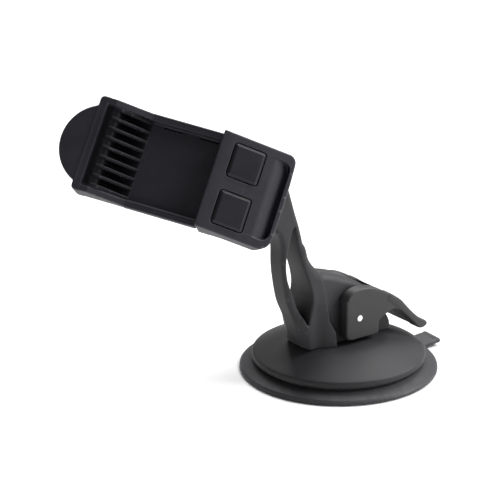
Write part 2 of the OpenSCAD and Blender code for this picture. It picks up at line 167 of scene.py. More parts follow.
def grid_net(field, low, high, step):
    """Vertices and quads of a net over the surface of a field, between two corners."""
    axes = [np.arange(a, b + step, step) for a, b in zip(low, high)]
    shape = [len(a) for a in axes]
    x, y, z = axes[0][:, None, None], axes[1][None, :, None], axes[2][None, None, :]
    values = np.broadcast_to(field(x, y, z), shape)
    inside = values < 0
    cells_at, points_at, quads, flips = [], [], [], []
    for axis in range(3):
        first, second = (axis + 1) % 3, (axis + 2) % 3
        low_side, high_side = [slice(None)] * 3, [slice(None)] * 3
        low_side[axis], high_side[axis] = slice(0, -1), slice(1, None)
        at = np.argwhere(inside[tuple(low_side)] != inside[tuple(high_side)])
        unit = np.eye(3, dtype=int)[axis]
        f0, f1 = values[tuple(at.T)], values[tuple((at + unit).T)]
        crossing = at + (f0 / (f0 - f1))[:, None] * unit
        ring = []
        for da, db in ((0, 0), (-1, 0), (-1, -1), (0, -1)):
            cell = at.copy()
            cell[:, first] += da
            cell[:, second] += db
            flat = np.ravel_multi_index(tuple(cell.T), shape)
            ring.append(flat)
            cells_at.append(flat)
            points_at.append(crossing)
        quads.append(np.stack(ring, 1))
        flips.append(~inside[tuple(at.T)])
    cells, index = np.unique(np.concatenate(cells_at), return_inverse=True)
    points = np.concatenate(points_at)
    hits = np.bincount(index)
    verts = np.stack([np.bincount(index, points[:, k]) / hits for k in range(3)], 1)
    faces = np.searchsorted(cells, np.concatenate(quads))
    flip = np.concatenate(flips)
    faces[flip] = faces[flip][:, ::-1]
    return verts * step + np.array(low), faces


def slopes(field, p, here, reach=0.01):
    """The field's gradient at points, by small forward steps."""
    out = []
    for k in range(3):
        q = p.copy()
        q[:, k] += reach
        out.append((field(*q.T) - here) / reach)
    return np.stack(out, 1)


def settled(field, p, step):
    """Points moved onto the field's surface, and the surface's normals there."""
    for _ in range(2):
        here = field(*p.T)
        slope = slopes(field, p, here)
        size = np.maximum((slope ** 2).sum(1), 0.05)
        move = np.clip(here / size, -step, step)
        p = p - move[:, None] * slope
    here = field(*p.T)
    slope = slopes(field, p, here)
    return p, slope / np.maximum(np.linalg.norm(slope, axis=1), 1e-6)[:, None]


def mesh_object(name, verts, faces, normals, matrix):
    """A smooth mesh object from arrays in millimetres, placed by a matrix."""
    turn = np.array(matrix.to_3x3())
    world = verts @ turn.T * MM + np.array(matrix.translation)
    mesh = bpy.data.meshes.new(name)
    mesh.vertices.add(len(world))
    mesh.vertices.foreach_set("co", world.astype(np.float32).ravel())
    mesh.loops.add(faces.size)
    mesh.loops.foreach_set("vertex_index", faces.astype(np.int32).ravel())
    mesh.polygons.add(len(faces))
    mesh.polygons.foreach_set("loop_start", np.arange(0, faces.size, 4, dtype=np.int32))
    mesh.polygons.foreach_set("use_smooth", np.ones(len(faces), bool))
    mesh.update(calc_edges=True)
    mesh.validate()
    mesh.normals_split_custom_set_from_vertices((normals @ turn.T).astype(np.float32))
    made = bpy.data.objects.new(name, mesh)
    bpy.context.scene.collection.objects.link(made)
    return made


def solid(name, field, low, high, step, matrix=WORLD):
    """A piece whose surface is where the field is zero."""
    margin = 2 * step + 0.013
    low, high = np.array(low, float) - margin, np.array(high, float) + margin
    verts, faces = grid_net(field, low, high, step)
    verts, normals = settled(field, verts, step)
    return mesh_object(name, verts, faces, normals, matrix)


def fitted(piece, body, slot, material, *nodes):
    """Gives a piece its body and material, and hides the CAD nodes it stands for; the slot it is given is not
    used.
    """
    piece.data.materials.append(material)
    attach(piece, body)
    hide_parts(*nodes)
    return piece


# ---------------------------------------------------------------- materials

def shader_of(name, colour, roughness, metallic=0.0, specular=0.5):
    """A material with its Principled shader, node tree and a link function."""
    material = bpy.data.materials.new(name)
    material.use_nodes = True
    tree = material.node_tree
    shader = tree.nodes["Principled BSDF"]
    shader.inputs["Base Color"].default_value = (*colour, 1)
    shader.inputs["Roughness"].default_value = roughness
    shader.inputs["Metallic"].default_value = metallic
    shader.inputs["Specular IOR Level"].default_value = specular
    return material, tree, shader


def noise(tree, place, scale, detail=3.0, rough=0.55):
    """A noise over object space; scale is in features per metre."""
    node = tree.nodes.new("ShaderNodeTexNoise")
    node.inputs["Scale"].default_value = scale
    node.inputs["Detail"].default_value = detail
    node.inputs["Roughness"].default_value = rough
    tree.links.new(place.outputs["Object"], node.inputs["Vector"])
    return node.outputs["Fac"]


def ranged(tree, value, low, high, new_low, new_high):
    """Maps a value from one range to another, clamped."""
    node = tree.nodes.new("ShaderNodeMapRange")
    for socket, number in zip(("From Min", "From Max", "To Min", "To Max"),
                              (low, high, new_low, new_high)):
        node.inputs[socket].default_value = number
    tree.links.new(value, node.inputs["Value"])
    return node.outputs["Result"]


def mixed(tree, share, first, second):
    """Mixes two colours by a share; each colour is a socket or a triple."""
    node = tree.nodes.new("ShaderNodeMix")
    node.data_type = "RGBA"
    tree.links.new(share, node.inputs["Factor"])
    for name, colour in (("A", first), ("B", second)):
        socket = next(s for s in node.inputs if s.name == name and s.type == "RGBA")
        if isinstance(colour, tuple):
            socket.default_value = (*colour, 1)
        else:
            tree.links.new(colour, socket)
    return next(s for s in node.outputs if s.type == "RGBA")


def bumped(tree, shader, heights):
    """Chains bumps onto a shader; each is (height, strength, distance in metres)."""
    last = None
    for height, strength, distance in heights:
        node = tree.nodes.new("ShaderNodeBump")
        node.inputs["Strength"].default_value = strength
        node.inputs["Distance"].default_value = distance
        tree.links.new(height, node.inputs["Height"])
        if last is not None:
            tree.links.new(last, node.inputs["Normal"])
        last = node.outputs["Normal"]
    tree.links.new(last, shader.inputs["Normal"])


def moulded(name, colour, worn, roughness, grain, specular=0.5):
    """Spark-eroded matte plastic: fine grain, faint clouding, dust and rubbed edges."""
    material, tree, shader = shader_of(name, colour, roughness, specular=specular)
    place = tree.nodes.new("ShaderNodeTexCoord")
    fine = noise(tree, place, 5200, 2.0)
    coarse = noise(tree, place, 1500, 3.0)
    cloud = noise(tree, place, 55, 4.0, 0.6)
    edge = tree.nodes.new("ShaderNodeNewGeometry").outputs["Pointiness"]
    rubbed = ranged(tree, edge, 0.51, 0.59, 0.0, 0.7)
    darker = tuple(c * 0.86 for c in colour)
    lighter = tuple(c * 1.14 for c in colour)
    base = mixed(tree, ranged(tree, cloud, 0.35, 0.65, 0, 1), darker, lighter)
    speck = mixed(tree, ranged(tree, fine, 0.4, 0.75, 0.0, 0.22), base, worn)
    tree.links.new(mixed(tree, rubbed, speck, worn), shader.inputs["Base Color"])
    rough = ranged(tree, cloud, 0.3, 0.7, roughness - 0.05, roughness + 0.06)
    tree.links.new(rough, shader.inputs["Roughness"])
    bumped(tree, shader, [(coarse, grain * 0.6, 0.00008), (fine, grain, 0.00004)])
    return material


def rubbery(name, colour, dusty, painted_crest_highlight, roughness, specular=0.35, sheen=0.12):
    """Soft rubber: dull sheen, faint bloom, moulding swirls, and a painted highlight that lightens crests and
    convex edges.
    """
    material, tree, shader = shader_of(name, colour, roughness, specular=specular)
    shader.inputs["Sheen Weight"].default_value = sheen
    shader.inputs["Sheen Roughness"].default_value = 0.5
    place = tree.nodes.new("ShaderNodeTexCoord")
    fine = noise(tree, place, 3600, 2.0)
    bloom = noise(tree, place, 38, 5.0, 0.65)
    swirl = noise(tree, place, 420, 2.0)
    base = mixed(tree, ranged(tree, bloom, 0.38, 0.72, 0.0, 0.7), colour, dusty)
    # Convex edges and rib crests are mixed towards the crest colour: a painted highlight.
    edge = tree.nodes.new("ShaderNodeNewGeometry").outputs["Pointiness"]
    tree.links.new(mixed(tree, ranged(tree, edge, 0.5, 0.56, 0.0, 1.0), base, painted_crest_highlight),
                   shader.inputs["Base Color"])
    tree.links.new(ranged(tree, swirl, 0.3, 0.7, roughness - 0.06, roughness + 0.08),
                   shader.inputs["Roughness"])
    bumped(tree, shader, [(swirl, 0.12, 0.0001), (fine, 0.16, 0.00004)])
    return material


def bright_steel(name, colour, roughness):
    """Turned and plated steel with faint streaks."""
    material, tree, shader = shader_of(name, colour, roughness, metallic=1.0)
    place = tree.nodes.new("ShaderNodeTexCoord")
    streak = noise(tree, place, 900, 2.0)
    stain = noise(tree, place, 160, 4.0)
    dull = tuple(c * 0.78 for c in colour)
    tree.links.new(mixed(tree, ranged(tree, stain, 0.4, 0.75, 0, 1), colour, dull),
                   shader.inputs["Base Color"])
    tree.links.new(ranged(tree, streak, 0.3, 0.7, roughness - 0.08, roughness + 0.1),
                   shader.inputs["Roughness"])
    bumped(tree, shader, [(streak, 0.1, 0.00003)])
    return material


BASE_PLASTIC = moulded("base_plastic", (0.024, 0.0235, 0.026), (0.058, 0.057, 0.062), 0.55, 0.22,
                       specular=0.3)
LEVER_PLASTIC = moulded("lever_plastic", (0.029, 0.028, 0.029), (0.075, 0.074, 0.076), 0.5, 0.2,
                        specular=0.35)
CRADLE_PLASTIC = moulded("cradle_plastic", (0.020, 0.0195, 0.0265), (0.1, 0.098, 0.115), 0.52,
                         0.26, specular=0.28)
BUTTON_PLASTIC = moulded("button_plastic", (0.0115, 0.0115, 0.0155), (0.075, 0.075, 0.085), 0.42,
                         0.16, specular=0.28)
INNER_PLASTIC = moulded("inner_plastic", (0.1, 0.1, 0.105), (0.16, 0.16, 0.165), 0.45, 0.12)
# Each rubber's third colour is a painted highlight for its crests and convex edges.
PAD_RUBBER = rubbery("pad_rubber", (0.022, 0.022, 0.025), (0.04, 0.04, 0.045),
                     (0.055, 0.055, 0.06), 0.52, specular=0.25)
GRIP_RUBBER = rubbery("grip_rubber", (0.002, 0.002, 0.003), (0.004, 0.004, 0.0055),
                      (0.034, 0.034, 0.042), 0.55, specular=0.12, sheen=0.0)
STEEL = bright_steel("steel", (0.78, 0.78, 0.8), 0.28)
FINISHES = {"base_plastic": BASE_PLASTIC, "lever_plastic": LEVER_PLASTIC,
            "cradle_plastic": CRADLE_PLASTIC, "button_plastic": BUTTON_PLASTIC,
            "inner_plastic": INNER_PLASTIC, "pad_rubber": PAD_RUBBER,
            "grip_rubber": GRIP_RUBBER, "steel": STEEL}


# ---------------------------------------------------------------- suction base

PAD_LOW, PAD_HIGH = box_in(WORLD, "suction_pad")
PAD_R = -PAD_LOW[0]
TAB_TIP = PAD_HIGH[0]
DOME_HIGH = box_in(WORLD, "base_dome")[1]
DOME_R, DOME_TOP = DOME_HIGH[0], DOME_HIGH[2]
TAB_TURN = math.radians(-3.5)
TAB_HALF = 5.3
TAB_ROOT = 37.5           # how far from the centre the pull tab joins the rim


def suction_pad():
    """The rubber disc with its boss, cupped underside and pull tab."""
    stem_low, stem_high = box_in(WORLD, "stem_disc")
    disc_r = stem_high[0] + 0.3
    rim_top, stem_r = 1.5, 3.6
    top = curve([(0, 2.5), (12, 2.4), (33, 0.05), (PAD_R - 0.5, 0), (PAD_R, 0.5), (PAD_R, rim_top),
                 (PAD_R - 0.7, 2.1), (34.2, 3.8), (29, 3.8), (14, 6), (12.5, PAD_HIGH[2]),
                 (stem_r, PAD_HIGH[2]), (stem_r, stem_high[2] + 0.2), (disc_r, stem_high[2] + 0.2),
                 (disc_r, stem_low[2] - 0.2), (0, stem_low[2] - 0.2)],
                corners=(0, 1, 2, 3, 5, 6, 7, 8, 9, 10, 11, 12, 13, 14, 15), steps=3)
    profile = outline(top + [(-2, top[-1][1]), (-2, 2.5)])
    reach = TAB_TIP + 0.02
    tab_side = outline(curve([(36.5, 0.35), (40, 0.3), (45, 1.2), (reach - 0.7, 1.45),
                              (reach - 0.1, 2.1), (reach - 0.6, 3.0), (46.8, 3.1), (45.6, 2.75),
                              (43.8, 2.75), (40, 2.1), (36.5, 2.1)], corners=(0, 10), steps=4))

    def field(x, y, z):
        radius = np.sqrt(x ** 2 + y ** 2)
        disc = profile(radius, z)
        xt = x * math.cos(TAB_TURN) + y * math.sin(TAB_TURN)
        yt = y * math.cos(TAB_TURN) - x * math.sin(TAB_TURN)
        plan = both(np.abs(yt) - TAB_HALF, xt - reach, 1.5)
        tab = both(tab_side(xt, z), plan, 0.5)
        return either(disc, both(tab, TAB_ROOT - xt, 0.2), 0.8)

    piece = solid("visual_suction_pad", field, PAD_LOW, PAD_HIGH, 0.42)
    return fitted(piece, "base", "pad_rubber", PAD_RUBBER, "suction_pad")


def lathe(name, profile, sides=192):
    """A closed profile of (radius, height) turned about the vertical axis."""
    profile = np.array(profile)
    count = len(profile)
    angles = np.arange(sides) * 2 * math.pi / sides
    ring = np.stack([np.cos(angles), np.sin(angles)], 1)
    verts = np.zeros((sides, count, 3))
    verts[:, :, :2] = ring[:, None, :] * profile[None, :, :1]
    verts[:, :, 2] = profile[:, 1]
    a = np.arange(sides)[:, None] * count + np.arange(count)[None, :]
    b = np.roll(a, -1, axis=0)
    faces = np.stack([a, b, np.roll(b, -1, axis=1), np.roll(a, -1, axis=1)], -1).reshape(-1, 4)
    mesh = bpy.data.meshes.new(name)
    mesh.from_pydata((verts.reshape(-1, 3) * MM).tolist(), [], faces.tolist())
    work = bmesh.new()
    work.from_mesh(mesh)
    bmesh.ops.recalc_face_normals(work, faces=work.faces)
    work.to_mesh(mesh)
    work.free()
    mesh.polygons.foreach_set("use_smooth", np.ones(len(mesh.polygons), bool))
    mesh.set_sharp_from_angle(angle=math.radians(40))
    made = bpy.data.objects.new(name, mesh)
    bpy.context.scene.collection.objects.link(made)
    return made


def base_dome():
    """The hard dome over the pad, with its undercut lip."""
    bore = box_in(WORLD, "stem_bush")[1][0] - 1.3
    points = [(bore, DOME_TOP), (17.6, DOME_TOP), (20.2, 13.95), (24, 12.55), (29, 10.35),
              (33.6, 8.15), (34.7, 7.45), (DOME_R, 6.6), (DOME_R, 5.5), (DOME_R - 0.5, 5.1),
              (33.4, 5), (33.2, 4.8), (33.2, 3.9), (33.1, 3.8), (30.9, 3.8), (30.8, 6.6),
              (28, 8.2), (22, 10.9), (17, 12.2), (bore, 12.2)]
    profile = curve(points, corners=(0, 1, 7, 8, 13, 14, 15, 18, 19), steps=5)
    piece = lathe("visual_base_dome", profile)
    return fitted(piece, "base", "base_plastic", BASE_PLASTIC, "base_dome")


# ---------------------------------------------------------------- pedestal with its arm

LEVER_LOW, LEVER_HIGH = box_in(WORLD, "lever")
PIVOT_Z = JOINTS["lever_turn"]["pos_m"][2] / MM
LEVER_HALF = LEVER_HIGH[1]
TONGUE_HALF, TONGUE_X = 8.0, (-24, 26)
FOOT_LEN, LENS_HALF = 20.6, 15.2
FOOT_END = ((-30, 10), (-9.2, 10), (-9.2, 20.5), (-11.7, 25.6), (-11.7, 60), (-30, 60))
ARM_HALF = 5.0
TOWER_SIDE = curve([(-FOOT_LEN, 10), (-FOOT_LEN, DOME_TOP), (-22, 21), (-23, 27), (-22.4, 35),
                    (-21.6, 42), (-22.6, 48), (-23.6, 53), (-20.8, 56), (-18.9, 50.5),
                    (-16, 46.2), (-12.8, 44.3), (-4.3, 41.6), (3.3, 38), (8.5, 34.2),
                    (11.5, 31), (13.6, 27.6), (15.5, 24.5), (18, 21.5), (20, 18),
                    (FOOT_LEN, DOME_TOP), (FOOT_LEN, 10)], corners=(0, 1, 7, 20, 21))
TOWER_EDGE = [(13.2, 10), (13.2, DOME_TOP), (13, 18), (11.2, 28), (8.2, 36), (6.7, 40),
              (5.6, 45), (5.1, 50), (5, 57), (5, 62)]
TOWER_FRONT = curve([(-y, z) for y, z in TOWER_EDGE] + TOWER_EDGE[::-1],
                    corners=(0, 1, 9, 10, 18, 19))
ARM_SIDE = curve([(-20, 12), (-20, DOME_TOP + 1), (-22.7, 20), (-26, 28), (-28.7, 34.5),
                  (-30.4, 43), (-31.2, 50), (-31.4, 58.6), (-33.4, 64), (-38.6, 68.8),
                  (-33.2, 76.2), (-32.6, 80), (-30.8, 82.2), (-28.1, 81.2), (-26.6, 77),
                  (-24.8, 71), (-22.7, 64.5), (-20.7, 56.5), (-18.9, 50.5), (-15, 45),
                  (-13, 30), (-13, 12)], corners=(0, 1, 9, 10, 19, 20, 21))
ARM_WINDOW = curve([(-21.3, 25), (-24, 31.1), (-26.2, 37.5), (-28.5, 43.3), (-29.4, 49),
                    (-29.2, 53.5), (-28, 59), (-26.6, 64), (-25.5, 65.4), (-24.9, 63),
                    (-23.8, 56.4), (-22.4, 50.2), (-20.4, 44.2), (-18.9, 38.4), (-19, 33.5),
                    (-20, 28.6)])


def pedestal():
    """The tower on the dome, blended into the arm with its teardrop window."""
    side, front = outline(TOWER_SIDE), outline(TOWER_FRONT)
    arm, window, end = outline(ARM_SIDE), outline(ARM_WINDOW), outline(FOOT_END)
    lens_k = (FOOT_LEN ** 2 - LENS_HALF ** 2) / (2 * LENS_HALF)
    lens_r = LENS_HALF + lens_k
    stem_low, stem_high = box_in(WORLD, "plunger_stem")
    bush_high = box_in(WORLD, "stem_bush")[1]
    pin_r = box_in(WORLD, "lever_pin")[1][0] + 0.05
    play = 0.4                # room round the stem
    sleeve_r = bush_high[0] - 1.1

    def field(x, y, z):
        lens = both(circle(x, y - lens_k, lens_r), circle(x, y + lens_k, lens_r), 1.5)
        foot = both(lens, end(x, z), 0.6)
        tongue = both(np.abs(y) - TONGUE_HALF, span(x, *TONGUE_X), 0)
        shell = both(side(x, z), front(y, z), 3.0)
        tower = either(both(shell, foot, 4.0), both(shell, tongue, 1.2), 1.4)
        strap = both(arm(x, z), np.abs(y) - ARM_HALF, 2.0)
        body = both(either(tower, strap, 3.0), DOME_TOP - z, 0.15)
        body = without(body, window(x, z), 0.9)
        pocket = block(x, y, z, (stem_low[0] - play, stem_low[1] - play, DOME_TOP - 2),
                       (stem_high[0] + play, stem_high[1] + play, stem_high[2] + 0.6))
        bush = both(circle(x, y, sleeve_r), span(z, DOME_TOP - 2, bush_high[2] + 0.2))
        body = without(without(body, pocket), bush)
        return without(body, circle(x, z - PIVOT_Z, pin_r))

    piece = solid("visual_pedestal", field, (-39, -14, DOME_TOP), (21, 14, 83), 0.36)
    return fitted(piece, "base", "base_plastic", BASE_PLASTIC, "pedestal")


# ---------------------------------------------------------------- lever

CHEEK = curve([(-6.2, 18.6), (-5.8, 17.2), (-4.4, 16.2), (9.0, 16), (9.9, 16.9), (9.9, 19.8),
               (10.8, 21.9), (13.8, 23.5), (16.4, 24.5), (18.5, 24.4), (21.1, 22.9), (25.4, 19.3),
               (28.2, 16.5), (30.6, 14.1), (33, 13.3), (35.1, 14.3), (34.6, 15.6), (30.6, 18.2),
               (26.7, 21.8), (23.6, 25.2), (21, 27.9), (15.7, 31.7), (10.5, 34.7), (5.8, 36.5),
               (1.3, 37.1), (-2.2, 36.6), (-4.7, 35.2), (-6.2, 33.0)], corners=(0, 2, 3, 4, 27))
WEB = curve([(14.4, 29.6), (17.4, 27.4), (20.6, 24.4), (23.4, 21.4), (25.4, 19.3), (28.2, 16.5),
             (30.6, 14.1), (33, 13.3), (35.1, 14.3), (34.6, 15.6), (30.6, 18.2), (26.7, 21.8),
             (23.6, 25.2), (21, 27.9), (15.7, 31.7)], corners=(0, 14))


def lever():
    """The cam lever: two cheeks and the curled handle across them."""
    cheek, web = outline(CHEEK), outline(WEB)
    cheek_in = TONGUE_HALF + 0.4
    pin_r = box_in(WORLD, "lever_pin")[1][0] + 0.01

    def field(x, y, z):
        cheeks = both(cheek(x, z), span(np.abs(y), cheek_in, LEVER_HALF), 0.8)
        handle = both(web(x, z), np.abs(y) - LEVER_HALF, 0.8)
        body = either(cheeks, handle, 1.0)
        return without(body, circle(x, z - PIVOT_Z, pin_r), 0.1)

    piece = solid("visual_lever", field, LEVER_LOW, LEVER_HIGH, 0.32)
    return fitted(piece, "lever", "lever_plastic", LEVER_PLASTIC, "lever")


# ---------------------------------------------------------------- tray with its jaw

TRAY_LOW, TRAY_HIGH = box_in(CRADLE, "tray")
JAW_LOW, JAW_HIGH = box_in(CRADLE, "jaw_pad")
JAW_TOP = TRAY_HIGH[2]
JAW_HALF = TRAY_HIGH[1]
JAW_X = (JAW_LOW[0] - 3.55, JAW_HIGH[0] + 0.1)
JAW_WALL, JAW_BASE = 3.5, 9.3
SKIRT_Z, SKIRT_T, SKIRT_END = 9.2, 1.5, FACE_X - 0.3
FLOOR_Z, FLOOR_T = 10.0, 2.0
TRAY_HALF, RAIL_T, RAIL_TOP = 17.5, 1.6, 12.5
TAIL_X = -8.5
TAB_R, TAB_X, TAB_Y, TAB_T = 16.4, -53.6, -0.4, 2.3
RACK_Y, RACK_Z = (8.5, 12.3), (TRAY_LOW[2], TRAY_LOW[2] + 2)
RACK_START = -11.5
TEETH, TOOTH_PITCH = 7, 1.6
SLOT_Y, SLOT_HALF, SLOT_LEN, SLOT_DEEP = 14.8, 0.3, 7.6, 0.8
SLOTS_X = (-35.4, -21.0)


def tray():
    """The sliding tray: floor, rails, jaw walls, finger tab and rack arms."""
    cheek = outline(curve([(JAW_X[0], JAW_BASE), (JAW_X[0], JAW_TOP), (-53.6, JAW_TOP),
                           (JAW_X[1] - 2, 13.2), (JAW_X[1] + 1, RAIL_TOP - 0.1),
                           (JAW_X[1] + 1, JAW_BASE)], corners=(0, 1, 2, 4, 5), steps=4))
    pad_half = JAW_HIGH[1] + 0.05

    def field(x, y, z):
        side = np.abs(y)
        floor = block(x, y, z, (JAW_X[0] + 1, -TRAY_HALF, FLOOR_Z - FLOOR_T),
                      (TAIL_X, TRAY_HALF, FLOOR_Z), 0.3)
        rails = block(x, side, z, (JAW_X[1] - 2, TRAY_HALF - RAIL_T, FLOOR_Z - 1.5),
                      (TAIL_X, TRAY_HALF, RAIL_TOP), 0.4)
        bed = either(floor, rails, 0.8)
        skirts = block(x, side, z, (JAW_X[1] - 1, JAW_HALF - SKIRT_T, SKIRT_Z),
                       (SKIRT_END, JAW_HALF, RAIL_TOP), 0.6)
        bed = either(bed, skirts, 0.1)
        walls = both(cheek(x, z), span(side, pad_half, JAW_HALF), 0.5)
        plan = both(side - JAW_HALF, JAW_X[0] - x, 1.8)
        end = both(both(plan, x - JAW_X[0] - JAW_WALL, 0), span(z, JAW_BASE, JAW_TOP), 0.6)
        disc = both(circle(x - TAB_X, y - TAB_Y, TAB_R), x - JAW_X[0] - 1, 0)
        tab = both(disc, span(z, JAW_TOP - TAB_T, JAW_TOP), 0.8)
        jaw = either(both(walls, plan, 0.5), either(end, tab, 0.5), 0.3)
        body = either(bed, jaw, 0.3)
        arm = block(x, side, z, (RACK_START, RACK_Y[0], RACK_Z[0]),
                    (TRAY_HIGH[0], RACK_Y[1], RACK_Z[1]), 0.3)
        heel = block(x, side, z, (RACK_START, RACK_Y[0], RACK_Z[0]),
                     (TAIL_X, RACK_Y[1], FLOOR_Z - 1), 0.3)
        body = either(body, either(arm, heel, 0.2), 0.2)
        for start in SLOTS_X:
            slot = both(round_rect(x - start - SLOT_LEN / 2, y - SLOT_Y, SLOT_LEN / 2,
                                   SLOT_HALF, 0.3), span(z, FLOOR_Z - SLOT_DEEP, FLOOR_Z + 1))
            body = without(body, slot, 0.1)
        first = RACK_START + 4.5
        phase = (x - first) / TOOTH_PITCH
        tooth = np.abs(phase - np.floor(phase) - 0.5) * TOOTH_PITCH
        rack = span(x, first, first + TEETH * TOOTH_PITCH)
        teeth = both(tooth + (z - RACK_Z[0]) * 0.8 - 0.45, rack)
        return without(body, both(teeth, side - RACK_Y[1]), 0.05)

    piece = solid("visual_tray", field, TRAY_LOW, TRAY_HIGH, 0.3, CRADLE)
    return fitted(piece, "tray", "cradle_plastic", CRADLE_PLASTIC, "tray")


RIBS = 9
RIB_EDGE = 0.9            # from the insert's side to its outermost rib's middle


def jaw_pad():
    """The jaw's rubber insert with its ribs."""
    half = JAW_HIGH[1]
    pitch = 2 * (half - RIB_EDGE) / (RIBS - 1)
    low_x, high_x, low_z = JAW_LOW[0], JAW_HIGH[0], JAW_LOW[2]
    ramp = outline(curve([(low_x, low_z), (low_x, JAW_TOP), (-53.4, JAW_TOP), (-51, 17.7),
                          (-48, 16), (-41, 11.6), (high_x, low_z + 0.6), (high_x, low_z)],
                         corners=(0, 1, 2, 6, 7), steps=4))
    groove = outline(curve([(-54.2, JAW_TOP + 0.6), (-53.2, JAW_TOP - 0.1), (-51.4, 17.2),
                            (-50.4, 14.4), (-49.2, 11.8), (-46.5, low_z + 0.9),
                            (-37, low_z + 0.6), (-37, 14), (-46, 22)],
                           corners=(0, 5, 6, 7, 8), steps=4))

    def field(x, y, z):
        body = both(ramp(x, z), np.abs(y) - half, 0.35)
        phase = (y + half - RIB_EDGE) / pitch
        apart = np.abs(phase - np.round(phase)) * pitch
        depth = np.clip(-ramp(x, z), 0, 5)
        rib = apart - 0.62 - 0.1 * depth
        inner = both(groove(x, z), np.abs(y) - half + RIB_EDGE, 0)
        return without(body, both(inner, -rib, 0.25), 0.55)

    piece = solid("visual_jaw_pad", field, JAW_LOW, JAW_HIGH, 0.24, CRADLE)
    return fitted(piece, "tray", "grip_rubber", GRIP_RUBBER, "jaw_pad")


# ---------------------------------------------------------------- housing

HOUSING_HALF = FRONT_BOX[1][1]
FACE_LEN = box_in(FACE, "housing_front")[1][0]
SPLIT_T = -box_in(FACE, "housing_front")[0][2]
SLAB_T, SKIN, SIDE_WALL = 8.2, 1.8, 1.1
BACK_Z = 5.8
BLOCK_LOW, BLOCK_HIGH = box_in(CRADLE, "housing_back")
BLOCK_HALF, BLOCK_WALL = 15.5, 1.6
SOLID_S = 21.5
CUP_HIGH = box_in(CRADLE, "socket_cup")[1]
CUP_R = CUP_HIGH[2]
SOCKET_R = CUP_R - 1.35
FLANGE_R = CUP_HIGH[0]
BUTTON_PLAN = ((5.8, 18.3), (2.72, 15.72))      # along the face, and from the centre line
PROUD = box_in(FACE, "button_upper")[1][2]
LEG_S = (9, 12)
SCREW_S, SCREW_Y = 25.5, 16.4


def face_to_cradle(s, h):
    """Cradle x and z of a point s down the face and h out of it."""
    return FACE_X + s * COS + h * SIN, FACE_Z - s * SIN + h * COS


def cradle_to_face(x, z):
    """How far down the face and out of it a point of the cradle lies."""
    return (x - FACE_X) * COS - (z - FACE_Z) * SIN, (x - FACE_X) * SIN + (z - FACE_Z) * COS


def slab_x(t, z):
    """Where a line t under the face crosses the height z."""
    return face_to_cradle((FACE_Z - t * COS - z) / SIN, -t)[0]


def housing_plan(s, y):
    """The housing seen square to its face: round corners at the lower end."""
    bow = FACE_LEN - 0.7 * (y / HOUSING_HALF) ** 2
    upper = both(s - bow, y - HOUSING_HALF, 3.0)
    return both(upper, -HOUSING_HALF - y, 4.6)


def hollow(x, y, z):
    """The room inside both shells, in the cradle's frame."""
    half, inner_t, floor = HOUSING_HALF - SIDE_WALL, SLAB_T - SKIN, BACK_Z + SKIN
    left = FACE_X + SKIN
    s, h = cradle_to_face(x, z)
    room = outline([(left, FACE_Z - SKIN * SIN / COS - SKIN / COS),
                    face_to_cradle(SOLID_S, -SKIN), face_to_cradle(SOLID_S, -inner_t),
                    (slab_x(inner_t, floor), floor), (left, floor)])
    upper = both(room(x, z), np.abs(y) - half, 0.6)
    lower = block(x, y, z, (FACE_X - 3, -BLOCK_HALF + BLOCK_WALL, BLOCK_LOW[2] + BLOCK_WALL),
                  (FACE_X + 20, BLOCK_HALF - BLOCK_WALL, 8.6), 0.5)
    lower = without(lower, both(SOLID_S - s, span(h, -SPLIT_T, 5)))
    ring = both(circle(x, y, CUP_R + 2.8), span(z, BLOCK_LOW[2] - 1, 0.3))
    lower = without(lower, ring)
    mouth = block(x, y, z, (FACE_X - 3, -half, floor), (left + 1, half, RAIL_TOP + 0.4))
    return either(either(upper, lower), mouth)


def windows(s, y, grow=0.3):
    """Both button windows, seen square to the face."""
    (s0, s1), (y0, y1) = BUTTON_PLAN
    return round_rect(s - (s0 + s1) / 2, np.abs(y) - (y0 + y1) / 2,
                      (s1 - s0) / 2 + grow, (y1 - y0) / 2 + grow, 1.2 + grow)


def housing_front():
    """The front shell: sloping face, button windows and thumb scoop."""
    strip = 3.5
    strip_slope = 0.13
    scoop_start, scoop_end, scoop_half = 21.6, FACE_LEN - 1.9, HOUSING_HALF - 3.4
    scoop_depth, scoop_back = 3.1, 8      # back: how far it runs out past its upper end
    pad_low, pad_high = box_in(CRADLE, "wall_pad")

    def field(s, y, h):
        x, z = face_to_cradle(s, h)
        shell = both(housing_plan(s, y), h, 0.7)
        shell = both(shell, (h - (s - strip) * strip_slope) / math.hypot(1, strip_slope), 0.2)
        shell = both(shell, FACE_X - x, 0.7)
        shell = both(shell, -SPLIT_T - h, 0.12)
        shell = without(shell, hollow(x, y, z))
        cup = np.sqrt(x ** 2 + y ** 2 + z ** 2) - CUP_R - 0.1
        shell = without(shell, cup)
        opening = both(windows(s, y), span(h, -4, 6))
        shell = without(shell, opening, 0.18)
        share = np.clip((s - scoop_start) / (scoop_end - scoop_start), 0, 1)
        floor = -scoop_depth * share ** 1.5
        mid = (scoop_start - scoop_back + scoop_end) / 2
        plan = round_rect(s - mid, y, (scoop_end - scoop_start + scoop_back) / 2, scoop_half, 3.4)
        scoop = both(plan, (floor - h) * 0.94, 0.5)
        shell = without(shell, scoop, 0.22)
        seat = block(x, y, z, (FACE_X - 2, pad_low[1], pad_low[2]),
                     (pad_high[0], pad_high[1], pad_high[2]))
        shell = without(shell, seat)
        screw = both(circle(s - SCREW_S, np.abs(y) - SCREW_Y, 1.0), span(h, -SPLIT_T - 1, -1.6))
        return without(shell, screw)

    low, high = box_in(FACE, "housing_front")
    piece = solid("visual_housing_front", field, low, high, 0.27, FACE)
    return fitted(piece, "cradle", "cradle_plastic", CRADLE_PLASTIC, "housing_front")


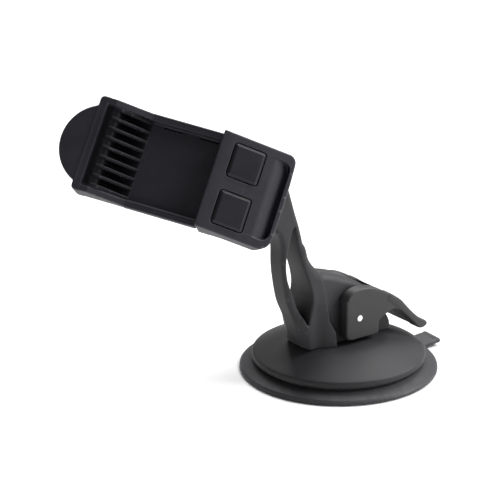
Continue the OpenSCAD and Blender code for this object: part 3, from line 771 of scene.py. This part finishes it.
def housing_back():
    """The back shell: slab, deep block round the ball's socket, and screw holes."""
    corner_x = slab_x(SLAB_T, BACK_Z)
    end = BLOCK_HIGH[0]
    slab = outline([(FACE_X, FACE_Z), face_to_cradle(FACE_LEN, 0),
                    face_to_cradle(FACE_LEN, -SLAB_T), (corner_x, BACK_Z), (FACE_X, BACK_Z)])
    deep = outline(curve([(FACE_X, BLOCK_LOW[2]), (8.2, BLOCK_LOW[2]), (10.6, -1.0), (11.9, 0.8),
                          (12, 3), (4, 9), (FACE_X, 9)], corners=(0, 1, 4, 5, 6), steps=4))

    def field(x, y, z):
        s, h = cradle_to_face(x, z)
        form = both(slab(x, z), housing_plan(s, y), 0.8)
        base = both(deep(x, z), np.abs(y) - BLOCK_HALF, 1.4)
        base = both(base, FACE_X - x, 0.5)
        form = either(form, base, 0.8)
        form = both(form, h + SPLIT_T, 0.12)
        form = without(form, hollow(x, y, z))
        far = np.sqrt(x ** 2 + y ** 2 + z ** 2)
        form = without(form, far - SOCKET_R, 0.3)
        form = without(form, both(circle(x, y, FLANGE_R + 0.05), span(z, 0.25, 3.25)))
        shank = circle(s - SCREW_S, np.abs(y) - SCREW_Y, 1.1)
        head = both(circle(s - SCREW_S, np.abs(y) - SCREW_Y, 2.0), h + SLAB_T - 1.5)
        return without(without(form, both(shank, h + 2)), head, 0.15)

    piece = solid("visual_housing_back", field, BLOCK_LOW, BLOCK_HIGH, 0.3, CRADLE)
    return fitted(piece, "cradle", "cradle_plastic", CRADLE_PLASTIC, "housing_back")


def wall_pad():
    """The thin rubber strip on the housing's wall, with five shallow ribs."""
    low, high = box_in(CRADLE, "wall_pad")

    def field(x, y, z):
        strip = block(x, y, z, low, high, 0.25)
        phase = (z - low[2]) / ((high[2] - low[2]) / 5)
        wave = np.abs(phase - np.floor(phase) - 0.5)
        line = both(0.16 - (0.5 - wave), low[0] + 0.25 - x, 0)
        return without(strip, both(line, np.abs(y) - high[1] + 0.8), 0.05)

    piece = solid("visual_wall_pad", field, low, high, 0.14, CRADLE)
    return fitted(piece, "cradle", "grip_rubber", GRIP_RUBBER, "wall_pad")


def button(node, side):
    """A release button: bevelled top, flange, leg and hook."""
    (s0, s1), (y0, y1) = BUTTON_PLAN
    mid_s, mid_y = (s0 + s1) / 2, (y0 + y1) / 2
    low, high = box_in(FACE, node)
    leg_y = RACK_Y[1] + 0.3
    bevel = 0.95

    def field(s, y, h):
        across = y * side
        plan = round_rect(s - mid_s, across - mid_y, (s1 - s0) / 2, (y1 - y0) / 2, 1.2)
        top = both(plan, h - PROUD, 0.12)
        slope = (plan + h - PROUD + bevel) / math.sqrt(2)
        cap = both(both(top, slope, 0.2), -2.4 - h, 0.2)
        flange = block(s, across, h, (s0 - 0.8, y0 - 0.8, -2.9), (s1 + 0.8, y1 + 0.8, -2.1), 0.2)
        leg = block(s, across, h, (LEG_S[0], leg_y, low[2]), (LEG_S[1], leg_y + 1, -2.2), 0.2)
        hook = block(s, across, h, (LEG_S[0], leg_y - 1.8, low[2]),
                     (LEG_S[1], leg_y + 1, low[2] + 1), 0.2)
        return either(either(cap, flange), either(leg, hook), 0.1)

    piece = solid("visual_" + node, field, low, high, 0.22, FACE)
    return fitted(piece, node, "button_plastic", BUTTON_PLASTIC, node)


# ---------------------------------------------------------------- stage, light and camera

VIEW_AZIMUTH, VIEW_ELEVATION, VIEW_ROLL = map(math.radians, (-35.2, 19.4, -0.4))
VIEW_DISTANCE, VIEW_LENS = 0.722, 128.2
VIEW_SHIFT = (-0.03545, 0.04717)          # how far the view's centre lies from the origin


def camera():
    """The camera at the photograph's viewing angle."""
    right = Vector((math.cos(VIEW_AZIMUTH), math.sin(VIEW_AZIMUTH), 0))
    back = Vector((math.sin(VIEW_AZIMUTH) * math.cos(VIEW_ELEVATION),
                   -math.cos(VIEW_AZIMUTH) * math.cos(VIEW_ELEVATION),
                   math.sin(VIEW_ELEVATION)))
    up = back.cross(right)
    data = bpy.data.cameras.new("camera")
    data.lens, data.sensor_width = VIEW_LENS, 36
    data.clip_start, data.clip_end = 0.05, 20
    made = bpy.data.objects.new("camera", data)
    bpy.context.scene.collection.objects.link(made)
    turn = Matrix.Rotation(VIEW_ROLL, 4, back)
    place = right * VIEW_SHIFT[0] + up * VIEW_SHIFT[1] + back * VIEW_DISTANCE
    made.matrix_world = turned(turn @ right, turn @ up, back, place)
    bpy.context.scene.camera = made


def area_light(name, place, aim, size, power):
    """A square soft light that looks at a point."""
    data = bpy.data.lights.new(name, "AREA")
    data.shape, data.size, data.energy = "SQUARE", size, power
    made = bpy.data.objects.new(name, data)
    bpy.context.scene.collection.objects.link(made)
    made.location = place
    made.rotation_euler = (Vector(aim) - Vector(place)).to_track_quat("-Z", "Y").to_euler()


def stage():
    """A pale floor, a pale world and soft lights."""
    mesh = bpy.data.meshes.new("floor")
    half = 6.0
    mesh.from_pydata([(-half, -half, 0), (half, -half, 0), (half, half, 0), (-half, half, 0)],
                     [], [(0, 1, 2, 3)])
    floor = bpy.data.objects.new("floor", mesh)
    bpy.context.scene.collection.objects.link(floor)
    material, _, _ = shader_of("floor", (0.93, 0.93, 0.93), 0.9, specular=0.1)
    floor.data.materials.append(material)
    world = bpy.data.worlds.new("studio")
    world.use_nodes = True
    background = world.node_tree.nodes["Background"]
    background.inputs["Color"].default_value = (1, 1, 1, 1)
    background.inputs["Strength"].default_value = 0.17
    bpy.context.scene.world = world
    bpy.context.scene.view_settings.view_transform = "Standard"
    aim = (-0.02, 0, 0.05)
    area_light("key", (0.95, -0.5, 1.0), aim, 0.8, 26)
    area_light("top", (0.55, 0.6, 1.2), aim, 0.9, 20)
    area_light("fill", (0.9, -1.2, 0.35), aim, 0.8, 5)


# ---------------------------------------------------------------- the object

suction_pad()
base_dome()
pedestal()
lever()
tray()
jaw_pad()
housing_front()
housing_back()
wall_pad()
button("button_upper", 1)
button("button_lower", -1)

SLOTS = {part["node"]: part["material_slot"] for part in frame["record"]["subparts"]}
for name, node in frame["nodes"].items():
    if not node.hide_render:
        node.data.materials.clear()
        node.data.materials.append(FINISHES[SLOTS[name]])

camera()
stage()
